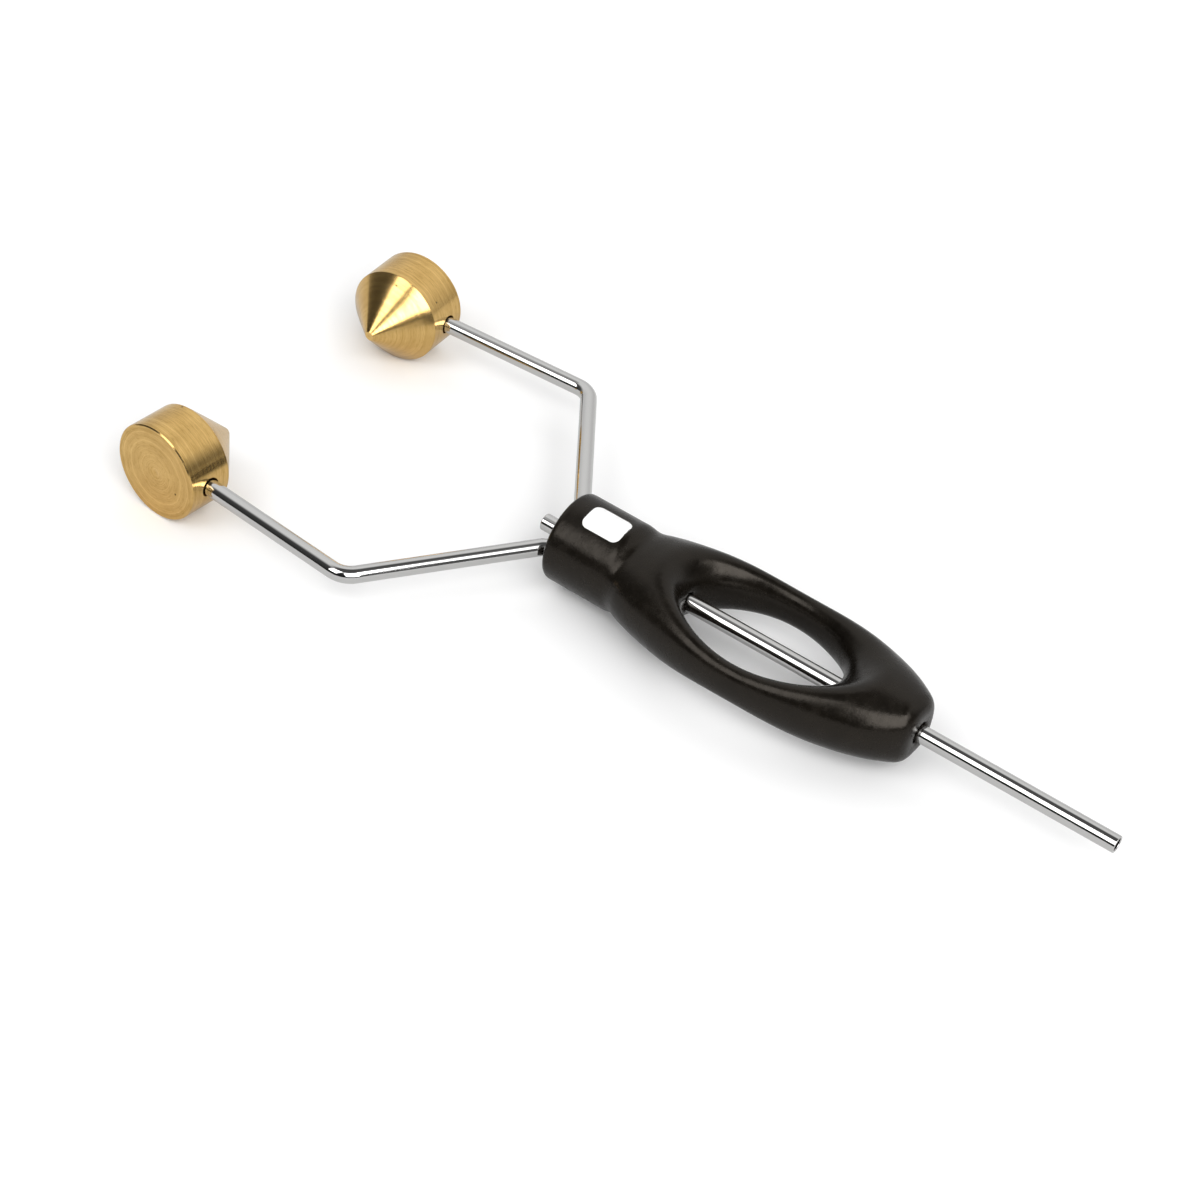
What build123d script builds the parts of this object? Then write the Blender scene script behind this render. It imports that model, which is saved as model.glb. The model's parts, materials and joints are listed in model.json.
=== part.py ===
"""Bobbin holder for fly tying: a handle with a thread tube and two sprung wire arms with brass feet.

Millimetres. The origin is on the tube's axis at the collar's rear face, +X runs to the tube's tip,
+Y is left and +Z is up. The arms and the tube lie in the plane Z = 0.
"""

import math
import os

from build123d import *

# Wire arms
wire_diameter = 1.8
arm_spacing = 5.8  # between the two wires where they leave the collar
arm_reach = 12.65  # from the collar's rear face back to the outer bends
arm_spread = 41.5  # between the two wires at the outer bends
toe_in = 3.9  # degrees that each outer run closes towards its foot
outer_run = 18.5  # from the outer bend to where the wire enters the foot
elbow_back = 0.55  # from the collar's rear face to the corner of the inner bend
inner_bend_radius = 2.0
outer_bend_radius = 2.4
socket_depth = 9.8  # of the wire in the collar
pivot_depth = 1.3  # where the wire flexes, inside the collar's mouth

# Brass feet
foot_diameter = 10.8
foot_length = 5.1  # of the cylinder, without its cone
foot_wire_offset = 2.5  # from the outer flat face to the wire's axis
cone_half_angle = 45.0
cone_tip_diameter = 1.0
foot_edge = 0.12
foot_hole_depth = 6.6
foot_mouth_diameter = 2.15  # the drill's wider start, a dark ring round the wire
foot_mouth_depth = 0.9

# Thread tube
tube_diameter = 1.83
tube_bore = 1.37
tube_back = 3.1  # stub behind the collar
tube_front = 21.75  # free length in front of the nose
tube_lip = 0.1

# Handle
handle_length = 42.2
collar_diameter = 9.75
collar_length = 7.3
collar_rim = 0.45
neck_blend = 1.6  # over which the collar's round eases into the body
body_width = 16.1
body_thickness = 10.2  # at the middle of its length, where the window takes most of it away
neck_thickness = 8.0  # of the body at the neck: a valley behind the swell
neck_width = 9.0
neck_swell_power = 2.2  # how soon the body swells behind the window
nose_taper_power = 2.3  # how late it tapers in front of it
nose_width = 5.2
nose_thickness = 6.8
nose_edge = 1.8
section_power = 2.3  # 2 is an ellipse, more is squarer
rail_width = 2.5  # of the body on each side of the window, at its waist
window_length = 17.7
window_centre = 23.85
window_flare_radius = 4.0
window_back_flare = 1.0  # of the sides' flare
window_front_flare = 1.9
window_crest = 1.0  # round along the tops of the rails
nose_recess_diameter = 2.35
nose_recess_depth = 0.8
mouth_chamfer = 0.35  # where the tube leaves the handle in the window

# Clearances
bond_gap = 0.03  # glue line round the tube and the wires, on the radius
hinge_gap = 0.1
flex_room = 0.45  # round the wire in the collar's mouth

# Worked out from the sizes above
wire_radius = wire_diameter / 2
tube_radius = tube_diameter / 2
arm_y = arm_spacing / 2
foot_radius = foot_diameter / 2
cone_tip_radius = cone_tip_diameter / 2
cone_height = (foot_radius - cone_tip_radius) / math.tan(math.radians(cone_half_angle))
collar_radius = collar_diameter / 2
window_width = body_width - 2 * rail_width
relief_depth = pivot_depth + wire_radius + hinge_gap + flex_room

os.makedirs("parts", exist_ok=True)


def out_of_collar(x, size):
    """A half-size of the body, eased from the collar's radius where the body leaves the collar."""
    share = min(max((x - collar_length) / neck_blend, 0), 1)
    ease = share**2 * (3 - 2 * share)
    return collar_radius * (1 - ease) + size * ease


def plan_half_width(x):
    """Half-width of the handle in plan: the collar, then an ellipse cut off at the neck and the nose."""
    neck_share = math.sqrt(1 - (neck_width / body_width) ** 2)
    nose_share = math.sqrt(1 - (nose_width / body_width) ** 2)
    half_length = (handle_length - collar_length) / (neck_share + nose_share)
    offset = max(x - collar_length, 0) / half_length - neck_share
    return out_of_collar(x, body_width / 2 * math.sqrt(1 - offset**2))


def half_thickness(x):
    """Half-thickness of the handle: it swells from the neck to the window and tapers to the nose."""
    if x < window_centre:
        share = (window_centre - max(x, collar_length)) / (window_centre - collar_length)
        swell = (neck_thickness - body_thickness) * share**neck_swell_power
        return out_of_collar(x, (body_thickness + swell) / 2)
    share = (x - window_centre) / (handle_length - window_centre)
    return (body_thickness + (nose_thickness - body_thickness) * share**nose_taper_power) / 2


def section_points(x, count=32):
    """Points round the section: a round at the collar that grows squarer towards the window."""
    share = min(max((x - collar_length) / (window_centre - collar_length), 0), 1)
    power = 2 + (section_power - 2) * share
    points = []
    for step in range(count):
        angle = 2 * math.pi * step / count
        y = math.copysign(abs(math.cos(angle)) ** (2 / power), math.cos(angle))
        z = math.copysign(abs(math.sin(angle)) ** (2 / power), math.sin(angle))
        points.append((plan_half_width(x) * y, half_thickness(x) * z))
    return points


def window_ellipse(z):
    """Shift, half-length and half-width of the window at a height: it flares towards both faces."""
    flare = z**2 / (2 * window_flare_radius)
    back = window_length / 2 + window_back_flare * flare
    front = window_length / 2 + window_front_flare * flare
    return (front - back) / 2, (front + back) / 2, window_width / 2 + flare


# Body of the handle with its collar, on evenly spaced sections
section_count = 46
window_levels = 9
cutter_height = body_thickness / 2 + window_crest
with BuildPart() as handle:
    for step in range(section_count):
        x = handle_length * step / (section_count - 1)
        with BuildSketch(Plane(origin=(x, 0, 0), x_dir=(0, 1, 0), z_dir=(1, 0, 0))):
            with BuildLine():
                Spline(*section_points(x), periodic=True)
            make_face()
    loft()
    ends = handle.faces().filter_by(GeomType.PLANE).sort_by(Axis.X)
    fillet(ends[0].edges(), collar_rim)
    fillet(ends[-1].edges(), nose_edge)
with BuildPart() as window:
    for step in range(window_levels):
        z = cutter_height * (2 * step / (window_levels - 1) - 1)
        shift, half_length, half_width = window_ellipse(z)
        with BuildSketch(Plane(origin=(window_centre + shift, 0, z), z_dir=(0, 0, 1))):
            Ellipse(half_length, half_width)
    loft()

# Bore for the tube, with the nose recess and the chamfered mouth at the window
bore_radius = tube_radius + bond_gap
window_back = window_centre - window_length / 2
with BuildPart() as tube_hole:
    with BuildSketch(Plane.XY):
        with BuildLine():
            Polyline(
                (-collar_rim, 0),
                (-collar_rim, bore_radius),
                (window_back - mouth_chamfer, bore_radius),
                (window_back + mouth_chamfer, bore_radius + 2 * mouth_chamfer),
                (window_centre, bore_radius),
                (handle_length - nose_recess_depth, bore_radius),
                (handle_length - nose_recess_depth, nose_recess_diameter / 2),
                (handle_length + nose_edge, nose_recess_diameter / 2),
                (handle_length + nose_edge, 0),
                close=True,
            )
        make_face()
    revolve(axis=Axis.X)

# Sockets for the wires, wider at the mouth so that the wires can flex there
with BuildPart() as sockets:
    for side in (1, -1):
        with BuildSketch(Plane.YZ):
            with Locations((side * arm_y, 0)):
                Circle(wire_radius + bond_gap)
        extrude(amount=socket_depth + bond_gap)
        with BuildSketch(Plane.YZ.offset(-collar_rim)):
            with Locations((side * arm_y, 0)):
                Circle(wire_radius + flex_room)
        extrude(amount=relief_depth + collar_rim)

with BuildPart() as grip:
    add(handle.part)
    add(window.part, mode=Mode.SUBTRACT)
    crests = grip.edges().sort_by(SortBy.LENGTH)[-2:]
    fillet(crests, window_crest)
    add(tube_hole.part, mode=Mode.SUBTRACT)
    add(sockets.part, mode=Mode.SUBTRACT)
grip.part.label = "handle"
export_step(grip.part, "parts/handle.step")

# Thread tube
with BuildPart() as thread_tube:
    with BuildSketch(Plane.YZ.offset(-tube_back)):
        Circle(tube_radius)
        Circle(tube_bore / 2, mode=Mode.SUBTRACT)
    extrude(amount=tube_back + handle_length + tube_front)
    fillet(thread_tube.edges().filter_by(GeomType.CIRCLE), tube_lip)
thread_tube.part.label = "thread_tube"
export_step(thread_tube.part, "parts/thread_tube.step")

# Arms and feet, left and right
toe = math.radians(toe_in)
for side, name in ((1, "left"), (-1, "right")):
    outer_bend = Vector(-arm_reach, side * arm_spread / 2)
    along = Vector(-math.cos(toe), -side * math.sin(toe))
    inward = Vector(math.sin(toe), -side * math.cos(toe))
    foot_entry = outer_bend + along * outer_run
    foot_centre = foot_entry + along * foot_radius
    pivot = Vector(pivot_depth, side * arm_y)

    # Fixed root of the wire, hollowed at its end for the flexing length
    with BuildPart() as arm_root:
        with BuildSketch(Plane.YZ.offset(pivot_depth)):
            with Locations((side * arm_y, 0)):
                Circle(wire_radius)
        extrude(amount=socket_depth - pivot_depth)
        with BuildSketch(Plane.XY):
            with Locations(pivot):
                Circle(wire_radius + hinge_gap)
        extrude(amount=wire_diameter, both=True, mode=Mode.SUBTRACT)
    arm_root.part.label = f"{name}_arm_root"
    export_step(arm_root.part, f"parts/{name}_arm_root.step")

    # Free length of the wire, with its rounded end on the pivot
    with BuildPart() as arm:
        with BuildLine() as path:
            FilletPolyline(
                (pivot_depth + wire_radius, side * arm_y),
                (-elbow_back, side * arm_y),
                outer_bend,
                foot_entry + along * (foot_hole_depth - bond_gap),
                radius=[inner_bend_radius, outer_bend_radius],
            )
        with BuildSketch(Plane(origin=path.line @ 0, z_dir=path.line % 0)):
            Circle(wire_radius)
        sweep()
        with BuildSketch(Plane.XY):
            with Locations(pivot + Vector(wire_diameter, 0)):
                Rectangle(2 * wire_diameter, 2 * wire_diameter)
            with Locations(pivot):
                Circle(wire_radius, mode=Mode.SUBTRACT)
        extrude(amount=wire_diameter, both=True, mode=Mode.SUBTRACT)
    arm.part.label = f"{name}_arm"
    export_step(arm.part, f"parts/{name}_arm.step")

    # Brass foot: a button whose cone points inward, drilled for the wire
    foot_plane = Plane(origin=foot_centre, x_dir=along, z_dir=inward)
    drill_plane = Plane(origin=foot_entry, z_dir=along)
    with BuildPart() as foot:
        with BuildSketch(foot_plane.offset(-foot_wire_offset)):
            Circle(foot_radius)
        extrude(amount=foot_length)
        chamfer(foot.edges().filter_by(GeomType.CIRCLE).sort_by(foot_plane.location.z_axis)[0], foot_edge)
        with BuildSketch(foot_plane.offset(foot_length - foot_wire_offset)):
            Circle(foot_radius)
        with BuildSketch(foot_plane.offset(foot_length - foot_wire_offset + cone_height)):
            Circle(cone_tip_radius)
        loft(ruled=True)
        with BuildSketch(drill_plane):
            Circle(wire_radius + bond_gap)
        extrude(amount=foot_hole_depth, mode=Mode.SUBTRACT)
        with BuildSketch(drill_plane):
            Circle(foot_mouth_diameter / 2)
        extrude(amount=foot_mouth_depth, mode=Mode.SUBTRACT)
    foot.part.label = f"{name}_foot"
    export_step(foot.part, f"parts/{name}_foot.step")
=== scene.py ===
import json
import math

import bmesh
import bpy
from mathutils import Matrix, Vector

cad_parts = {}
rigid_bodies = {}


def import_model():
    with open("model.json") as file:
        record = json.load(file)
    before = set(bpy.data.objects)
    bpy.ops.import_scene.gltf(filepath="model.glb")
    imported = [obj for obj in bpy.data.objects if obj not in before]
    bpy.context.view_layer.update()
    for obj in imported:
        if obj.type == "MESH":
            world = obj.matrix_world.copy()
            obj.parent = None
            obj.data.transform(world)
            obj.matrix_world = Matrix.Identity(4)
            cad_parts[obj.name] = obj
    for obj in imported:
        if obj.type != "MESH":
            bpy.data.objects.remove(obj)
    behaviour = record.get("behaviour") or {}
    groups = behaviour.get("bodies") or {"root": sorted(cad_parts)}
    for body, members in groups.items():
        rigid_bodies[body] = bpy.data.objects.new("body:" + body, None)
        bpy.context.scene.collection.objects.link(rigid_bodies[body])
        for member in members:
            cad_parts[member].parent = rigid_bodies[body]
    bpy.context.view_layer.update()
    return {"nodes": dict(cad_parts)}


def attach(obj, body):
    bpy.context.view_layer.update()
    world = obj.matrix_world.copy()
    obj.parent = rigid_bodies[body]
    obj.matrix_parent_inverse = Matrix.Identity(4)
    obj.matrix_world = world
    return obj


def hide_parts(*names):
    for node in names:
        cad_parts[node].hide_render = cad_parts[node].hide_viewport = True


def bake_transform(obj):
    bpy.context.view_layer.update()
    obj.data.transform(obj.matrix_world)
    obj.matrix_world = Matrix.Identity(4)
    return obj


for leftover in list(bpy.data.objects):  # start from an empty scene
    bpy.data.objects.remove(leftover, do_unlink=True)
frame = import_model()
mm = 0.001
print("frame loaded:", ", ".join(sorted(frame["nodes"])))


def addNode(tree, kind, inputs=None, **props):
    node = tree.nodes.new(kind)
    for key, value in props.items():
        setattr(node, key, value)
    for key, value in (inputs or {}).items():
        if isinstance(value, bpy.types.NodeSocket):
            tree.links.new(value, node.inputs[key])
        else:
            node.inputs[key].default_value = value
    return node


def calc(tree, operation, *values):
    node = addNode(tree, "ShaderNodeMath", dict(enumerate(values)), operation=operation)
    return node.outputs[0]


def ramp(tree, value, low, high, outLow=0.0, outHigh=1.0):
    limits = {"Value": value, "From Min": low, "From Max": high, "To Min": outLow, "To Max": outHigh}
    return addNode(tree, "ShaderNodeMapRange", limits).outputs["Result"]


def mixColours(tree, share, first, second):
    # sockets 6 and 7 are the Mix node's pair of colours, and output 2 is its colour
    node = addNode(tree, "ShaderNodeMix", {0: share, 6: first, 7: second}, data_type="RGBA")
    return node.outputs[2]


def weighted(tree, *parts):
    total = None
    for value, share in parts:
        scaled = calc(tree, "MULTIPLY", value, share)
        total = scaled if total is None else calc(tree, "ADD", total, scaled)
    return total


def noise(tree, place, scale, detail=2.0, roughness=0.5):
    values = {"Vector": place, "Scale": scale, "Detail": detail, "Roughness": roughness}
    return addNode(tree, "ShaderNodeTexNoise", values).outputs["Fac"]


def specks(tree, place, scale, size, spared):
    # small round spots, one in a cell, where the share spared of the cells has none
    cells = addNode(tree, "ShaderNodeTexVoronoi", {"Vector": place, "Scale": scale})
    near = ramp(tree, cells.outputs["Distance"], *size, 1.0, 0.0)
    chosen = addNode(tree, "ShaderNodeSeparateColor", {"Color": cells.outputs["Color"]}).outputs["Red"]
    return calc(tree, "MULTIPLY", near, calc(tree, "GREATER_THAN", chosen, spared))


def newMaterial(name):
    material = bpy.data.materials.new(name)
    material.use_nodes = True
    material.node_tree.nodes.clear()
    return material, material.node_tree


def finishMaterial(tree, inputs):
    shader = addNode(tree, "ShaderNodeBsdfPrincipled", inputs)
    addNode(tree, "ShaderNodeOutputMaterial", {"Surface": shader.outputs["BSDF"]})


def bump(tree, height, distance, strength=1.0, under=None):
    values = {"Height": height, "Distance": distance, "Strength": strength}
    if under is not None:
        values["Normal"] = under
    return addNode(tree, "ShaderNodeBump", values).outputs["Normal"]


def objectPlace(tree):
    return addNode(tree, "ShaderNodeTexCoord").outputs["Object"]


def grey(level):
    return (level, level, level, 1)


# Soft black coat of the handle: fine grain, uneven gloss and a little dust
coat = {
    "dark": (0.0042, 0.0034, 0.0025, 1),
    "light": (0.0080, 0.0064, 0.0046, 1),
    "dust": (0.10, 0.09, 0.075, 1),
    "warmth": (1.0, 0.90, 0.79, 1),
    "mottleScale": 420.0,
    "patchScale": 1500.0,
    "grainScale": 5200.0,
    "dustScale": 340.0,
    "dustSize": (0.014, 0.022),
    "dustSpared": 0.6,
    "roughness": (0.17, 0.32),
    "gloss": 0.29,
}


def softCoat():
    material, tree = newMaterial("softBlackCoat")
    place = objectPlace(tree)
    mottle = noise(tree, place, coat["mottleScale"], 4.0, 0.6)
    patches = noise(tree, place, coat["patchScale"], 3.0, 0.6)
    grain = noise(tree, place, coat["grainScale"], 2.0, 0.6)
    dusty = specks(tree, place, coat["dustScale"], coat["dustSize"], coat["dustSpared"])
    shade = mixColours(tree, ramp(tree, mottle, 0.3, 0.7), coat["dark"], coat["light"])
    uneven = weighted(tree, (mottle, 0.45), (patches, 0.55))
    waves = bump(tree, mottle, 0.06 * mm, 0.6)
    dents = bump(tree, patches, 0.02 * mm, 0.6, waves)
    skin = bump(tree, grain, 0.008 * mm, 0.5, dents)
    finishMaterial(tree, {
        "Base Color": mixColours(tree, dusty, shade, coat["dust"]),
        "Roughness": ramp(tree, uneven, 0.36, 0.64, *coat["roughness"]),
        "Specular IOR Level": coat["gloss"],
        "Specular Tint": coat["warmth"],
        "Normal": skin,
    })
    return material


# Polished stainless: draw lines along the rod, and a few small pits
steel = {
    "colour": (0.66, 0.655, 0.645, 1),
    "pit": (0.06, 0.055, 0.05, 1),
    "roughness": (0.03, 0.10),
    "lineScale": 9000.0,
    "stretch": 0.012,  # of the lines' pattern along the rod
    "pitScale": 260.0,
    "pitSize": (0.05, 0.08),
    "pitSpared": 0.72,
}


def polishedSteel(place, tree, material):
    squeezed = addNode(tree, "ShaderNodeMapping", {"Vector": place, "Scale": (1, 1, steel["stretch"])})
    lines = noise(tree, squeezed.outputs["Vector"], steel["lineScale"], 3.0, 0.6)
    pitted = specks(tree, place, steel["pitScale"], steel["pitSize"], steel["pitSpared"])
    colour = mixColours(tree, pitted, steel["colour"], steel["pit"])
    rough = ramp(tree, lines, 0.3, 0.7, *steel["roughness"])
    skin = bump(tree, lines, 0.002 * mm, 0.5)
    finishMaterial(tree, {"Base Color": colour, "Metallic": 1.0, "Roughness": rough, "Normal": skin})
    return material


def tubeSteel():
    material, tree = newMaterial("polishedTube")
    parts = addNode(tree, "ShaderNodeSeparateXYZ", {"Vector": objectPlace(tree)}).outputs
    turned = addNode(tree, "ShaderNodeCombineXYZ", {"X": parts["Y"], "Y": parts["Z"], "Z": parts["X"]})
    return polishedSteel(turned.outputs["Vector"], tree, material)


def wireSteel():
    material, tree = newMaterial("polishedWire")
    rod = addNode(tree, "ShaderNodeAttribute", attribute_name="rodPlace")
    return polishedSteel(rod.outputs["Vector"], tree, material)


# Turned brass: tool rings, short scratches round the foot, dark flecks and painted shade inside the wire
# hole
brass = {
    "light": (0.87, 0.58, 0.22, 1),
    "dark": (0.58, 0.36, 0.11, 1),
    "fleck": (0.10, 0.055, 0.02, 1),
    # painted shade: near-black colour inside the drilled wire hole
    "paintedShade": (0.020, 0.014, 0.008, 1),
    "roughness": (0.10, 0.26),
    "ringPitch": 0.11 * mm,
    "ringDepth": 0.004 * mm,
    "swirlPitch": 0.55 * mm,
    "swirlWander": 0.5 * mm,
    "scratchWidth": 0.13 * mm,
    "scratchTurn": 4.5,  # waves of the scratches round a turn, over tau
    "cloudScale": 380.0,
    "coneRun": 0.8,  # share of the radius in the run of the rings
    "fleckScale": 700.0,
    "fleckSize": (0.06, 0.10),
    "fleckSpared": 0.70,
    "paintedShadeReach": (0.98 * mm, 1.13 * mm),  # from the wire's axis
}


def turnedBrass(name, toFoot):
    material, tree = newMaterial(name)
    local = addNode(tree, "ShaderNodeMapping", {
        "Vector": objectPlace(tree),
        "Location": toFoot.to_translation(),
        "Rotation": toFoot.to_euler(),
    }).outputs["Vector"]
    parts = addNode(tree, "ShaderNodeSeparateXYZ", {"Vector": local}).outputs
    across = addNode(tree, "ShaderNodeCombineXYZ", {"X": parts["X"], "Y": parts["Y"]}).outputs["Vector"]
    radius = addNode(tree, "ShaderNodeVectorMath", {0: across}, operation="LENGTH").outputs["Value"]
    heading = addNode(tree, "ShaderNodeVectorMath", {0: across}, operation="NORMALIZE").outputs["Vector"]
    profile = calc(tree, "SUBTRACT", parts["Z"], calc(tree, "MULTIPLY", radius, brass["coneRun"]))
    cloud = noise(tree, local, brass["cloudScale"], 3.0, 0.6)

    def rings(pitch, run):
        values = {"W": run, "Scale": 1 / pitch, "Detail": 3.0, "Roughness": 0.7}
        return addNode(tree, "ShaderNodeTexNoise", values, noise_dimensions="1D").outputs["Fac"]

    tool = rings(brass["ringPitch"], profile)
    wander = calc(tree, "ADD", profile, calc(tree, "MULTIPLY", cloud, brass["swirlWander"]))
    swirl = rings(brass["swirlPitch"], wander)
    turned = addNode(tree, "ShaderNodeSeparateXYZ", {"Vector": heading}).outputs
    roundPlace = addNode(tree, "ShaderNodeCombineXYZ", {
        "X": calc(tree, "MULTIPLY", turned["X"], brass["scratchTurn"]),
        "Y": calc(tree, "MULTIPLY", turned["Y"], brass["scratchTurn"]),
        "Z": calc(tree, "DIVIDE", profile, brass["scratchWidth"]),
    }).outputs["Vector"]
    scratches = ramp(tree, noise(tree, roundPlace, 1.0, 2.0, 0.6), 0.54, 0.70)

    tone = weighted(tree, (tool, 0.35), (swirl, 0.40), (cloud, 0.25))
    tone = calc(tree, "SUBTRACT", ramp(tree, tone, 0.36, 0.59), calc(tree, "MULTIPLY", scratches, 0.45))
    metal = mixColours(tree, tone, brass["dark"], brass["light"])
    flecked = specks(tree, local, brass["fleckScale"], brass["fleckSize"], brass["fleckSpared"])
    metal = mixColours(tree, flecked, metal, brass["fleck"])

    aside = addNode(tree, "ShaderNodeCombineXYZ", {"Y": parts["Y"], "Z": parts["Z"]}).outputs["Vector"]
    fromWire = addNode(tree, "ShaderNodeVectorMath", {0: aside}, operation="LENGTH").outputs["Value"]
    # painted shade: inside the wire hole, near the wire's axis, the brass is coloured near-black
    inHole = ramp(tree, fromWire, *brass["paintedShadeReach"], 1.0, 0.0)
    shadedHole = calc(tree, "MULTIPLY", inHole, calc(tree, "LESS_THAN", parts["X"], 0.0))
    metal = mixColours(tree, shadedHole, metal, brass["paintedShade"])

    rough = ramp(tree, tool, 0.3, 0.7, *brass["roughness"])
    skin = bump(tree, tool, brass["ringDepth"], 0.8)
    skin = bump(tree, calc(tree, "SUBTRACT", 1.0, scratches), brass["ringDepth"], 0.6, skin)
    finishMaterial(tree, {"Base Color": metal, "Metallic": 1.0, "Roughness": rough, "Normal": skin})
    return material


def addObject(name, mesh, material):
    piece = bpy.data.objects.new(name, mesh)
    bpy.context.scene.collection.objects.link(piece)
    if material is not None:
        mesh.materials.clear()
        mesh.materials.append(material)
    return piece


def finishShape(shape, name):
    mesh = bpy.data.meshes.new(name)
    shape.to_mesh(mesh)
    shape.free()
    return mesh


def smoothByAngle(mesh, degrees):
    for face in mesh.polygons:
        face.use_smooth = True
    mesh.set_sharp_from_angle(angle=math.radians(degrees))


coatMaterial = softCoat()
tubeMaterial = tubeSteel()
wireMaterial = wireSteel()
tube = frame["nodes"]["thread_tube"]
if not tube.material_slots:
    tube.data.materials.append(tubeMaterial)
for slot in tube.material_slots:
    slot.material = tubeMaterial
print("thread tube finished")


def bake(carrier, name):
    view = bpy.context.evaluated_depsgraph_get()
    mesh = bpy.data.meshes.new_from_object(carrier.evaluated_get(view))
    bpy.data.objects.remove(carrier, do_unlink=True)
    mesh.name = name
    return mesh


# Moulded grip: the CAD handle with the rails round its window rolled over softly
grip = {
    "voxel": 0.16,  # millimetres
    "softSpan": (10.0 * mm, 14.0 * mm, 34.0 * mm, 39.0 * mm),  # eases in and out along X
    "fromTube": (1.2 * mm, 2.6 * mm),  # the mouths round the tube stay crisp
    "settle": 0.008,  # share of the softening that the whole skin gets
    "passes": 340,
}


def easeBetween(value, low, high):
    share = min(max((value - low) / (high - low), 0.0), 1.0)
    return share * share * (3 - 2 * share)


def softness(place):
    span = grip["softSpan"]
    along = easeBetween(place.x, span[0], span[1]) * (1 - easeBetween(place.x, span[2], span[3]))
    clear = easeBetween(math.hypot(place.y, place.z), *grip["fromTube"])
    return max(along * clear, grip["settle"])


def makeGrip(name):
    shape = bmesh.new()
    shape.from_mesh(frame["nodes"]["handle"].data)
    bmesh.ops.remove_doubles(shape, verts=shape.verts, dist=0.001 * mm)
    mesh = finishShape(shape, name)
    mesh.transform(Matrix.Scale(1 / mm, 4))
    carrier = addObject(name, mesh, coatMaterial)
    fine = carrier.modifiers.new("fineSkin", "REMESH")
    fine.mode = "VOXEL"
    fine.voxel_size = grip["voxel"]
    mesh = bake(carrier, name)
    mesh.transform(Matrix.Scale(mm, 4))
    carrier = addObject(name, mesh, coatMaterial)
    soft = carrier.vertex_groups.new(name="soft")
    for spot in mesh.vertices:
        soft.add([spot.index], softness(spot.co), "REPLACE")
    roll = carrier.modifiers.new("rollOver", "SMOOTH")
    roll.factor = 0.5
    roll.iterations = grip["passes"]
    roll.vertex_group = "soft"
    mesh = bake(carrier, name)
    smoothByAngle(mesh, 180)
    return addObject(name, mesh, coatMaterial)


piece = makeGrip("mouldedGrip")
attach(piece, "frame")
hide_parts("handle")
print(piece.name, len(piece.data.polygons), "faces")


# Bent wire arms, each one length of wire from the collar to its foot
arms = {
    "wireRadius": 0.9 * mm,
    "rootX": 9.8 * mm,
    "rootY": 2.9 * mm,
    "innerBend": (-0.55 * mm, 2.9 * mm),
    "outerBend": (-12.65 * mm, 20.75 * mm),
    "bendRadii": (0.0, 2.0 * mm, 2.4 * mm, 0.0),
    "toeIn": math.radians(3.9),
    "outerRun": 18.5 * mm,
    "inFoot": 6.57 * mm,
    "ringStep": 0.3 * mm,
    "sides": 28,
}


def armRoute(side):
    along = Vector((-math.cos(arms["toeIn"]), -side * math.sin(arms["toeIn"]), 0))
    inner = Vector((arms["innerBend"][0], side * arms["innerBend"][1], 0))
    outer = Vector((arms["outerBend"][0], side * arms["outerBend"][1], 0))
    root = Vector((arms["rootX"], side * arms["rootY"], 0))
    return [root, inner, outer, outer + along * (arms["outerRun"] + arms["inFoot"])], along


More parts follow.
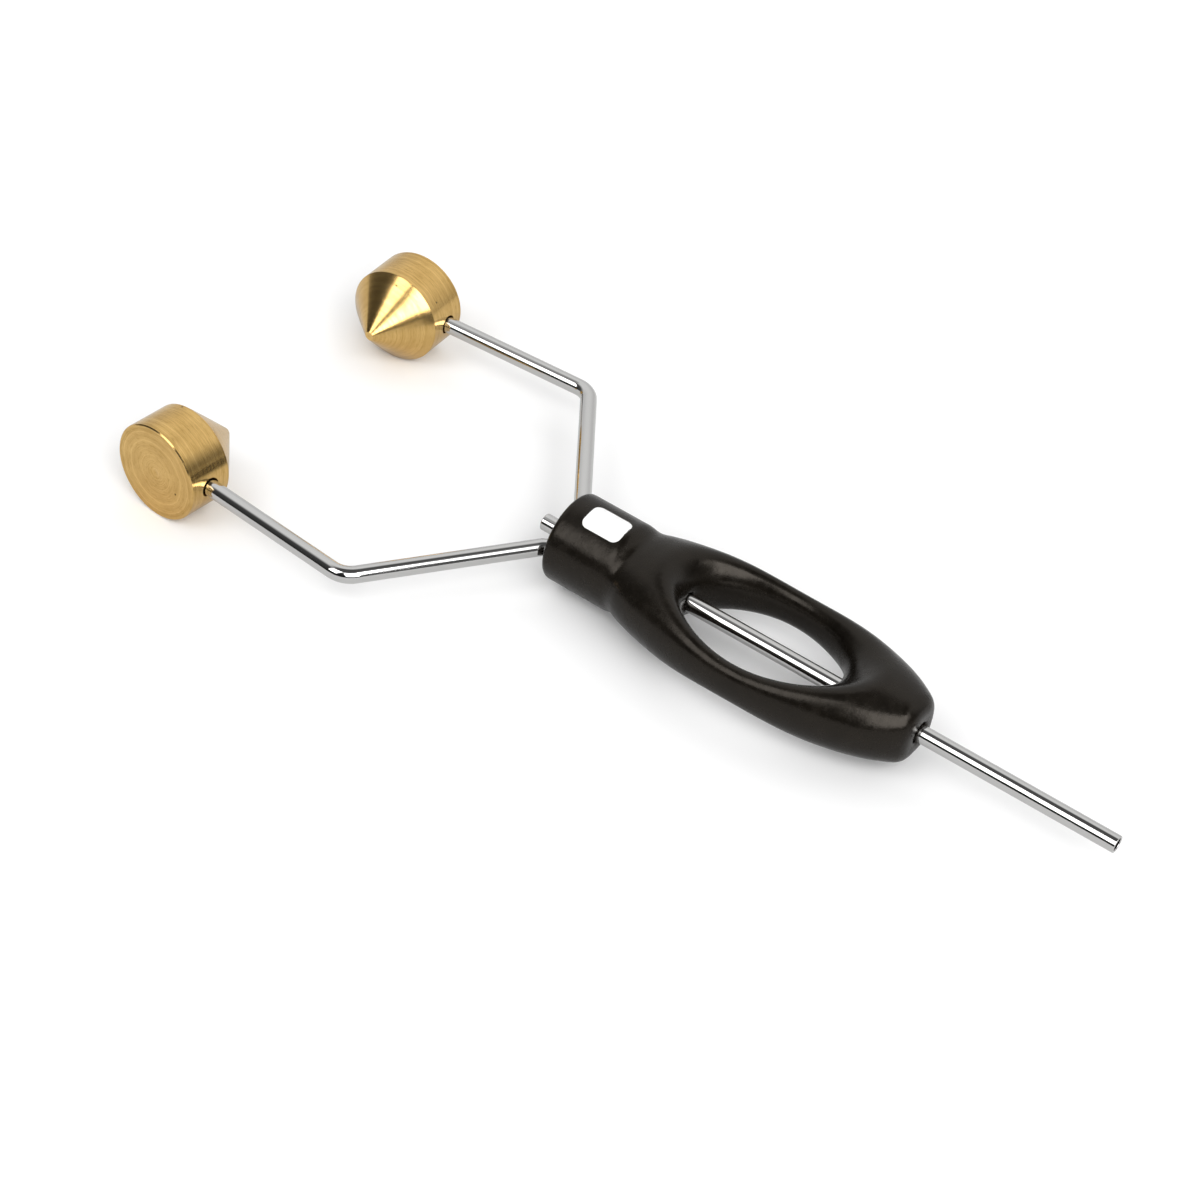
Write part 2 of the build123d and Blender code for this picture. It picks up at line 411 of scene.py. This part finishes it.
def wireTree():
    tree = bpy.data.node_groups.new("bentWire", "GeometryNodeTree")
    face = tree.interface
    face.new_socket("Route", in_out="INPUT", socket_type="NodeSocketGeometry")
    for name, kind, value in (
        ("Wire radius", "NodeSocketFloat", arms["wireRadius"]),
        ("Ring step", "NodeSocketFloat", arms["ringStep"]),
        ("Sides", "NodeSocketInt", arms["sides"]),
        ("Finish", "NodeSocketMaterial", None),
    ):
        socket = face.new_socket(name, in_out="INPUT", socket_type=kind)
        if value is not None:
            socket.default_value = value
    face.new_socket("Wire", in_out="OUTPUT", socket_type="NodeSocketGeometry")
    given = tree.nodes.new("NodeGroupInput").outputs

    def recall(name, kind):
        node = addNode(tree, "GeometryNodeInputNamedAttribute", {"Name": name}, data_type=kind)
        return node.outputs["Attribute"]

    def store(shape, name, value, kind):
        values = {"Geometry": shape, "Name": name, "Value": value}
        node = addNode(tree, "GeometryNodeStoreNamedAttribute", values, data_type=kind, domain="POINT")
        return node.outputs["Geometry"]

    line = addNode(tree, "GeometryNodeMeshToCurve", {"Mesh": given["Route"]}).outputs["Curve"]
    rounded = addNode(tree, "GeometryNodeFilletCurve", {
        "Curve": line, "Count": 24, "Radius": recall("bendRadius", "FLOAT"),
    }, mode="POLY").outputs["Curve"]
    stepped = addNode(tree, "GeometryNodeResampleCurve", {
        "Curve": rounded, "Length": given["Ring step"],
    }, mode="LENGTH").outputs["Curve"]
    run = addNode(tree, "GeometryNodeSplineParameter").outputs["Length"]
    measured = store(stepped, "runLength", run, "FLOAT")
    circle = addNode(tree, "GeometryNodeCurvePrimitiveCircle", {
        "Resolution": given["Sides"], "Radius": given["Wire radius"],
    }).outputs["Curve"]
    spot = addNode(tree, "GeometryNodeInputPosition").outputs["Position"]
    marked = store(circle, "ringPlace", spot, "FLOAT_VECTOR")
    swept = addNode(tree, "GeometryNodeCurveToMesh", {
        "Curve": measured, "Profile Curve": marked, "Fill Caps": True,
    }).outputs["Mesh"]
    around = recall("ringPlace", "FLOAT_VECTOR")
    ring = addNode(tree, "ShaderNodeSeparateXYZ", {"Vector": around}).outputs
    unrolled = addNode(tree, "ShaderNodeCombineXYZ", {
        "X": ring["X"], "Y": ring["Y"], "Z": recall("runLength", "FLOAT"),
    }).outputs["Vector"]
    lined = store(swept, "rodPlace", unrolled, "FLOAT_VECTOR")
    real = addNode(tree, "GeometryNodeRealizeInstances", {"Geometry": lined}).outputs["Geometry"]
    dressed = addNode(tree, "GeometryNodeSetMaterial", {
        "Geometry": real, "Material": given["Finish"],
    }).outputs["Geometry"]
    addNode(tree, "NodeGroupOutput", {"Wire": dressed})
    return tree


def makeWire(name, side, tree):
    line = bpy.data.meshes.new(name + "Route")
    line.from_pydata(armRoute(side)[0], [(0, 1), (1, 2), (2, 3)], [])
    bend = line.attributes.new("bendRadius", "FLOAT", "POINT")
    bend.data.foreach_set("value", arms["bendRadii"])
    carrier = addObject(name + "Route", line, None)
    modifier = carrier.modifiers.new("bentWire", "NODES")
    modifier.node_group = tree
    sockets = {item.name: item.identifier for item in tree.interface.items_tree}
    modifier[sockets["Wire radius"]] = arms["wireRadius"]
    modifier[sockets["Ring step"]] = arms["ringStep"]
    modifier[sockets["Sides"]] = arms["sides"]
    modifier[sockets["Finish"]] = wireMaterial
    mesh = bake(carrier, name)
    smoothByAngle(mesh, 40)
    return addObject(name, mesh, wireMaterial)


tree = wireTree()
for side, name in ((1, "left"), (-1, "right")):
    wire = makeWire(name + "Wire", side, tree)
    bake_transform(wire)
    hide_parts(name + "_arm_root", name + "_arm")
    print(wire.name, len(wire.data.polygons), "faces")


# Brass feet: turned buttons with a cone, drilled across for the wire
foot = {
    "radius": 5.4 * mm,
    "length": 5.1 * mm,
    "wireOffset": 2.5 * mm,
    "coneHeight": 4.9 * mm,
    "tipRadius": 0.5 * mm,
    "edge": 0.12 * mm,
    "pip": (0.12 * mm, 0.3 * mm, 0.05 * mm),  # dimple in the flat face: floor, rim and depth
    "lip": (0.04 * mm, 0.01 * mm),  # tiny break between the cylinder and the cone
    "tipEdge": 0.02 * mm,
    "holeRadius": 0.93 * mm,
    "holeDepth": 6.6 * mm,
    "mouthRadius": 1.075 * mm,
    "mouthDepth": 0.9 * mm,
    "segments": 144,
    "bitSegments": 48,
}


def footProfile():
    back = -foot["wireOffset"]
    front = back + foot["length"]
    rise = foot["coneHeight"]
    tip = front + rise
    radius = foot["radius"]
    edge = foot["edge"]
    pipFloor, pipRim, pipDepth = foot["pip"]
    lipIn, lipUp = foot["lip"]
    points = [(0.0, back + pipDepth), (pipFloor, back + pipDepth), (pipRim, back)]
    points += [(radius * share, back) for share in (0.2, 0.4, 0.6, 0.8)]
    points += [(radius - edge, back), (radius, back + edge)]
    points += [(radius, back + edge + (foot["length"] - edge) * share) for share in (0.25, 0.5, 0.75)]
    points += [(radius, front - lipIn), (radius - lipIn, front + lipUp)]
    slope = foot["tipRadius"] - radius
    points += [(radius + slope * share, front + rise * share) for share in (0.25, 0.5, 0.75)]
    points += [(foot["tipRadius"], tip - foot["tipEdge"]), (foot["tipRadius"] * 0.6, tip), (0.0, tip)]
    return points


def lathe(points, segments):
    shape = bmesh.new()
    rings = []
    for radius, height in points:
        if radius == 0:
            rings.append([shape.verts.new((0, 0, height))])
            continue
        ring = []
        for step in range(segments):
            turn = 2 * math.pi * step / segments
            ring.append(shape.verts.new((radius * math.cos(turn), radius * math.sin(turn), height)))
        rings.append(ring)
    for lower, upper in zip(rings, rings[1:]):
        for step in range(segments):
            after = (step + 1) % segments
            corners = [lower[step % len(lower)], lower[after % len(lower)]]
            corners += [upper[after % len(upper)], upper[step % len(upper)]]
            shape.faces.new(list(dict.fromkeys(corners)))
    bmesh.ops.recalc_face_normals(shape, faces=shape.faces)
    return shape


def drillBit(toWorld):
    # stepped bit along local Z, entering at the foot's rim
    mouth = foot["mouthRadius"]
    hole = foot["holeRadius"]
    start = -1.0 * mm
    step = foot["mouthDepth"]
    end = foot["holeDepth"]
    points = [(0.0, start), (mouth, start), (mouth, step)]
    points += [(hole, step + 0.1 * mm), (hole, end), (0.0, end)]
    mesh = finishShape(lathe(points, foot["bitSegments"]), "drillBit")
    mesh.transform(toWorld)
    return addObject("drillBit", mesh, None)


def basis(origin, zAxis, xAxis):
    yAxis = zAxis.cross(xAxis)
    turned = Matrix((xAxis, yAxis, zAxis)).transposed().to_4x4()
    return Matrix.Translation(origin) @ turned


def makeFoot(name, side):
    route, along = armRoute(side)
    inward = Vector((math.sin(arms["toeIn"]), -side * math.cos(arms["toeIn"]), 0))
    entry = route[2] + along * arms["outerRun"]
    centre = entry + along * foot["radius"]
    toWorld = basis(centre, inward, along)
    mesh = finishShape(lathe(footProfile(), foot["segments"]), name)
    mesh.transform(toWorld)
    material = turnedBrass(name + "Brass", toWorld.inverted())
    piece = addObject(name, mesh, material)
    bit = drillBit(basis(entry, along, Vector((0, 0, 1))))
    cut = piece.modifiers.new("drill", "BOOLEAN")
    cut.object = bit
    cut.operation = "DIFFERENCE"
    cut.solver = "EXACT"
    drilled = bake(piece, name)
    bpy.data.objects.remove(bit, do_unlink=True)
    smoothByAngle(drilled, 22)
    return addObject(name, drilled, material)


for side, name in ((1, "left"), (-1, "right")):
    piece = makeFoot(name + "BrassFoot", side)
    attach(piece, name + "_arm")
    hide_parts(name + "_foot")
    print(piece.name, len(piece.data.polygons), "faces")


# Plain printed patch on the collar
patch = {
    "collarRadius": 4.875 * mm,
    "centreX": 4.68 * mm,
    "turn": math.radians(-9.2),
    "length": 4.55 * mm,
    "width": 3.3 * mm,
    "corner": 0.8 * mm,
    "proud": 0.02 * mm,
    "sunk": 0.04 * mm,
    "steps": 8,
    "span": 0.18 * mm,
    "rings": 10,
    "ink": ((0.80, 0.80, 0.79, 1), (0.9, 0.9, 0.89, 1)),
    "speckleScale": 3200.0,
    "roughness": (0.4, 0.55),
}


def patchMaterial():
    material, tree = newMaterial("whitePrint")
    speckle = noise(tree, objectPlace(tree), patch["speckleScale"], 2.0, 0.5)
    finishMaterial(tree, {
        "Base Color": mixColours(tree, ramp(tree, speckle, 0.35, 0.65), *patch["ink"]),
        "Roughness": ramp(tree, speckle, 0.3, 0.7, *patch["roughness"]),
        "Normal": bump(tree, speckle, 0.006 * mm, 0.4),
    })
    return material


def patchOutline():
    points = []
    halfLength = patch["length"] / 2 - patch["corner"]
    halfWidth = patch["width"] / 2 - patch["corner"]
    corners = ((1, 1), (-1, 1), (-1, -1), (1, -1))
    for quarter, (sideX, sideY) in enumerate(corners):
        for step in range(patch["steps"] + 1):
            angle = math.pi / 2 * (quarter + step / patch["steps"])
            x = sideX * halfLength + patch["corner"] * math.cos(angle)
            points.append((x, sideY * halfWidth + patch["corner"] * math.sin(angle)))
    outline = []
    for here, after in zip(points, points[1:] + points[:1]):  # fine enough to lie on the round collar
        pieces = max(1, round(math.dist(here, after) / patch["span"]))
        for step in range(pieces):
            outline.append(tuple(Vector(here).lerp(Vector(after), step / pieces)))
    return outline


def makePatch():
    outline = patchOutline()
    shape = bmesh.new()

    def onCollar(x, arc, lift):
        radius = patch["collarRadius"] + lift
        angle = patch["turn"] + arc / patch["collarRadius"]
        place = (patch["centreX"] + x, radius * math.sin(angle), radius * math.cos(angle))
        return shape.verts.new(place)

    def sheet(lift):
        levels = [[onCollar(0, 0, lift)]]
        for ring in range(1, patch["rings"] + 1):
            share = ring / patch["rings"]
            levels.append([onCollar(x * share, arc * share, lift) for x, arc in outline])
        return levels

    top = sheet(patch["proud"])
    under = sheet(-patch["sunk"])
    count = len(outline)
    for levels in (top, under):
        for inner, outer in zip(levels, levels[1:]):
            for step in range(count):
                after = (step + 1) % count
                corners = [inner[step % len(inner)], outer[step]]
                corners += [outer[after], inner[after % len(inner)]]
                shape.faces.new(list(dict.fromkeys(corners)))
    for step in range(count):
        after = (step + 1) % count
        shape.faces.new((top[-1][step], top[-1][after], under[-1][after], under[-1][step]))
    bmesh.ops.recalc_face_normals(shape, faces=shape.faces)
    mesh = finishShape(shape, "printedPatch")
    smoothByAngle(mesh, 40)
    return addObject("printedPatch", mesh, patchMaterial())


piece = makePatch()
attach(piece, "frame")
print("printed patch done")


# Studio: pale floor, soft boxes round the camera and a pale backdrop behind the object
studio = {
    "floorHeight": -5.4 * mm,
    "floorSize": 1.8,
    "floorShown": 0.92,
    "floorMirrored": 0.61,  # a duller table under the object
    "backdrop": 0.59,  # a pale sweep behind the object
    "backdropTurn": 110.0,
    "backdropLean": 0.55,
    "horizonGlow": 0.42,
    "darkRoom": (0.02, 0.09),  # behind the camera, and at the sides
    "aim": (0.01, 0.0, 0.0),
    "boxes": (
        # name, azimuth, elevation, distance, width, height, brightness
        ("leftBox", -108, 45, 1.5, 0.75, 1.05, 3.1),
        ("rightBox", -41, 37, 1.5, 1.05, 1.25, 4.5),
        ("sideBox", -4, 47, 1.5, 0.5, 0.7, 2.2),
    ),
    "fill": ("overheadFill", 0, 90, 1.4, 2.4, 2.4, 0.36),  # lights the floor, not seen in the metal
}


def makeFloor():
    half = studio["floorSize"] / 2
    height = studio["floorHeight"] - 0.02 * mm
    mesh = bpy.data.meshes.new("floor")
    corners = [(x * half, y * half, height) for x, y in ((-1, -1), (1, -1), (1, 1), (-1, 1))]
    mesh.from_pydata(corners, [], [(0, 1, 2, 3)])
    material, tree = newMaterial("paleFloor")
    shown = addNode(tree, "ShaderNodeLightPath").outputs["Is Camera Ray"]
    colour = mixColours(tree, shown, grey(studio["floorMirrored"]), grey(studio["floorShown"]))
    finishMaterial(tree, {"Base Color": colour, "Roughness": 0.9, "Specular IOR Level": 0.1})
    addObject("floor", mesh, material)


def softBox(name, azimuth, elevation, distance, width, height, brightness):
    turn = math.radians(azimuth)
    lift = math.radians(elevation)
    away = Vector((math.cos(lift) * math.cos(turn), math.cos(lift) * math.sin(turn), math.sin(lift)))
    aim = Vector(studio["aim"])
    data = bpy.data.lights.new(name, "AREA")
    data.shape = "RECTANGLE"
    data.size = width
    data.size_y = height
    data.energy = brightness * math.pi * width * height
    lamp = bpy.data.objects.new(name, data)
    lamp.location = aim + distance * away
    lamp.rotation_euler = (aim - lamp.location).to_track_quat("-Z", "Y").to_euler()
    lamp.visible_camera = False
    bpy.context.scene.collection.objects.link(lamp)
    return lamp


def makeWorld():
    world = bpy.data.worlds.new("studioWorld")
    world.use_nodes = True
    tree = world.node_tree
    tree.nodes.clear()
    shown = addNode(tree, "ShaderNodeLightPath").outputs["Is Camera Ray"]
    way = addNode(tree, "ShaderNodeTexCoord").outputs["Generated"]
    ways = addNode(tree, "ShaderNodeSeparateXYZ", {"Vector": way}).outputs
    room = ramp(tree, ways["Y"], -0.9, -0.3, *studio["darkRoom"])
    glow = ramp(tree, ways["Z"], -0.05, 0.28, studio["horizonGlow"], 0.0)
    glow = calc(tree, "MULTIPLY", glow, ramp(tree, ways["Y"], -0.4, 0.2))
    turn = math.radians(studio["backdropTurn"])
    aside = ((ways["X"], math.cos(turn)), (ways["Y"], math.sin(turn)))
    facing = weighted(tree, *aside, (ways["Z"], studio["backdropLean"]))
    sweep = ramp(tree, facing, 0.25, 0.60, 0.0, studio["backdrop"])
    sweep = calc(tree, "MULTIPLY", sweep, ramp(tree, ways["Z"], 0.3, 0.65, 1.0, 1.3))
    sweep = calc(tree, "MULTIPLY", sweep, ramp(tree, ways["Z"], 0.87, 0.95, 1.0, 0.0))
    room = calc(tree, "ADD", room, calc(tree, "MAXIMUM", glow, sweep))
    level = calc(tree, "MAXIMUM", room, calc(tree, "MULTIPLY", shown, 0.97))
    back = addNode(tree, "ShaderNodeBackground", {"Color": grey(1), "Strength": level})
    addNode(tree, "ShaderNodeOutputWorld", {"Surface": back.outputs["Background"]})
    bpy.context.scene.world = world


# Camera at the photographed angle
shot = {
    "lens": 84,
    "sensorWidth": 36,
    "place": (0.11305, -0.18656, 0.18373),
    "right": (0.8038, 0.5837, 0.1152),
    "back": (0.377, -0.6495, 0.6604),
}


def makeCamera():
    data = bpy.data.cameras.new("camera")
    data.lens = shot["lens"]
    data.sensor_width = shot["sensorWidth"]
    camera = bpy.data.objects.new("camera", data)
    back = Vector(shot["back"]).normalized()
    up = back.cross(Vector(shot["right"])).normalized()
    camera.matrix_world = basis(Vector(shot["place"]), back, up.cross(back))
    data.clip_start = 0.01
    data.clip_end = 20
    bpy.context.scene.collection.objects.link(camera)
    bpy.context.scene.camera = camera


makeFloor()
makeWorld()
for box in studio["boxes"]:
    softBox(*box)
softBox(*studio["fill"]).visible_glossy = False
makeCamera()
bpy.context.scene.view_settings.view_transform = "Standard"
print("studio ready")
